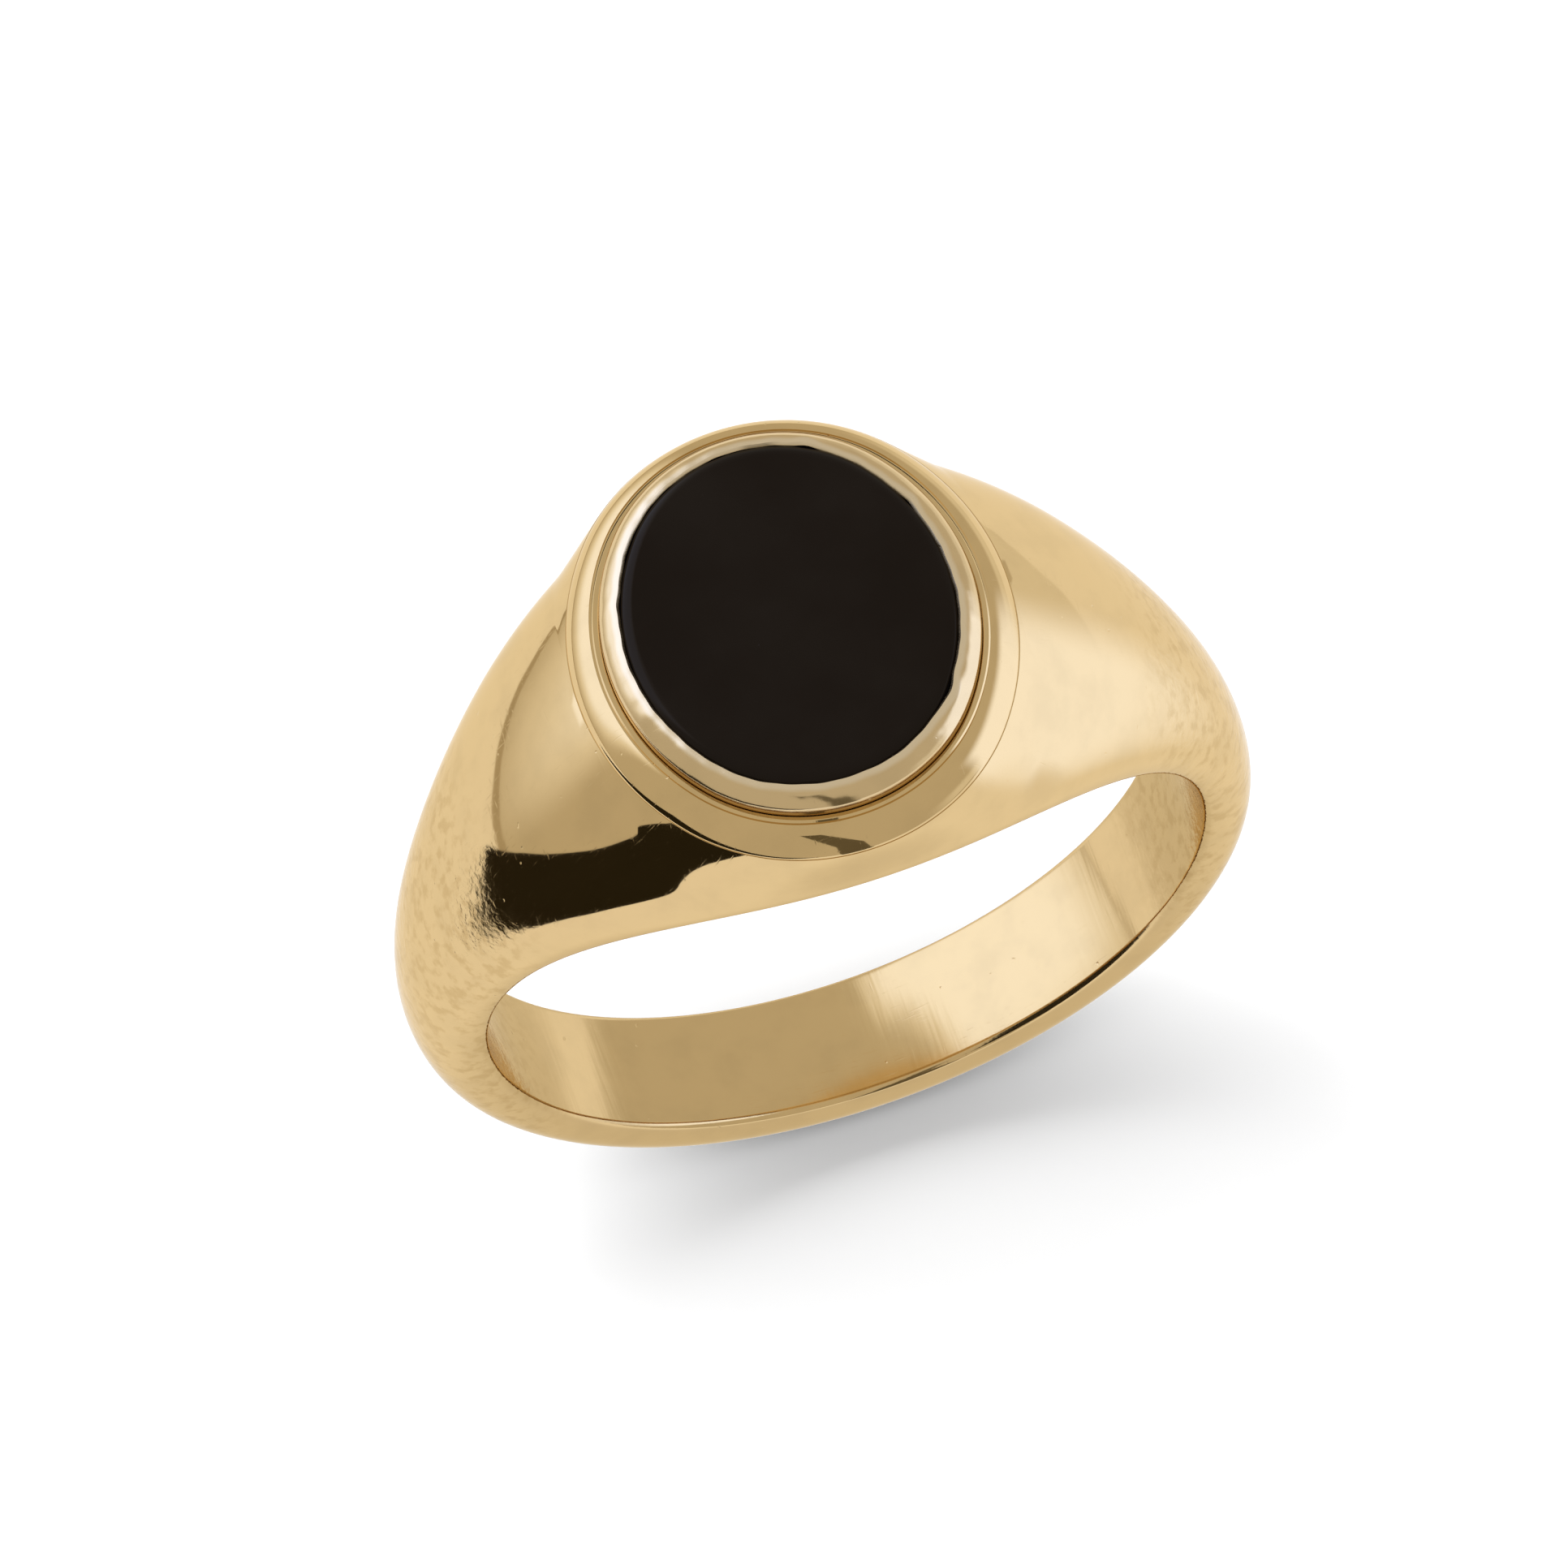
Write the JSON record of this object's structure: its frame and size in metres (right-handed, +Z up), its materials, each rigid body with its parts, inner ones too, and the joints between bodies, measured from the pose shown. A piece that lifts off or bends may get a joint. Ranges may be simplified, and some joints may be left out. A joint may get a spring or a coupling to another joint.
{
  "type": "signet ring",
  "caption": "Yellow gold signet ring with a flat oval black stone in a burnished bezel on a stepped oval collar.",
  "frame": {"origin": "centre of the finger hole", "axes": "+Y along the finger hole, +Z up through the head and the stone, +X to one side of the finger"},
  "size_m": [0.0236, 0.0132, 0.026],
  "materials": {
    "gold": "polished yellow gold",
    "bright_cut_gold": "burnished bright-cut gold",
    "onyx": "polished black",
    "cement": "matt"
  },
  "bodies": {
    "root": {"shank": "gold", "stepped_collar": "gold", "bezel": "bright_cut_gold", "bearer": "gold", "cement_bed": "cement", "onyx_tablet": "onyx"}
  },
  "joints": []
}
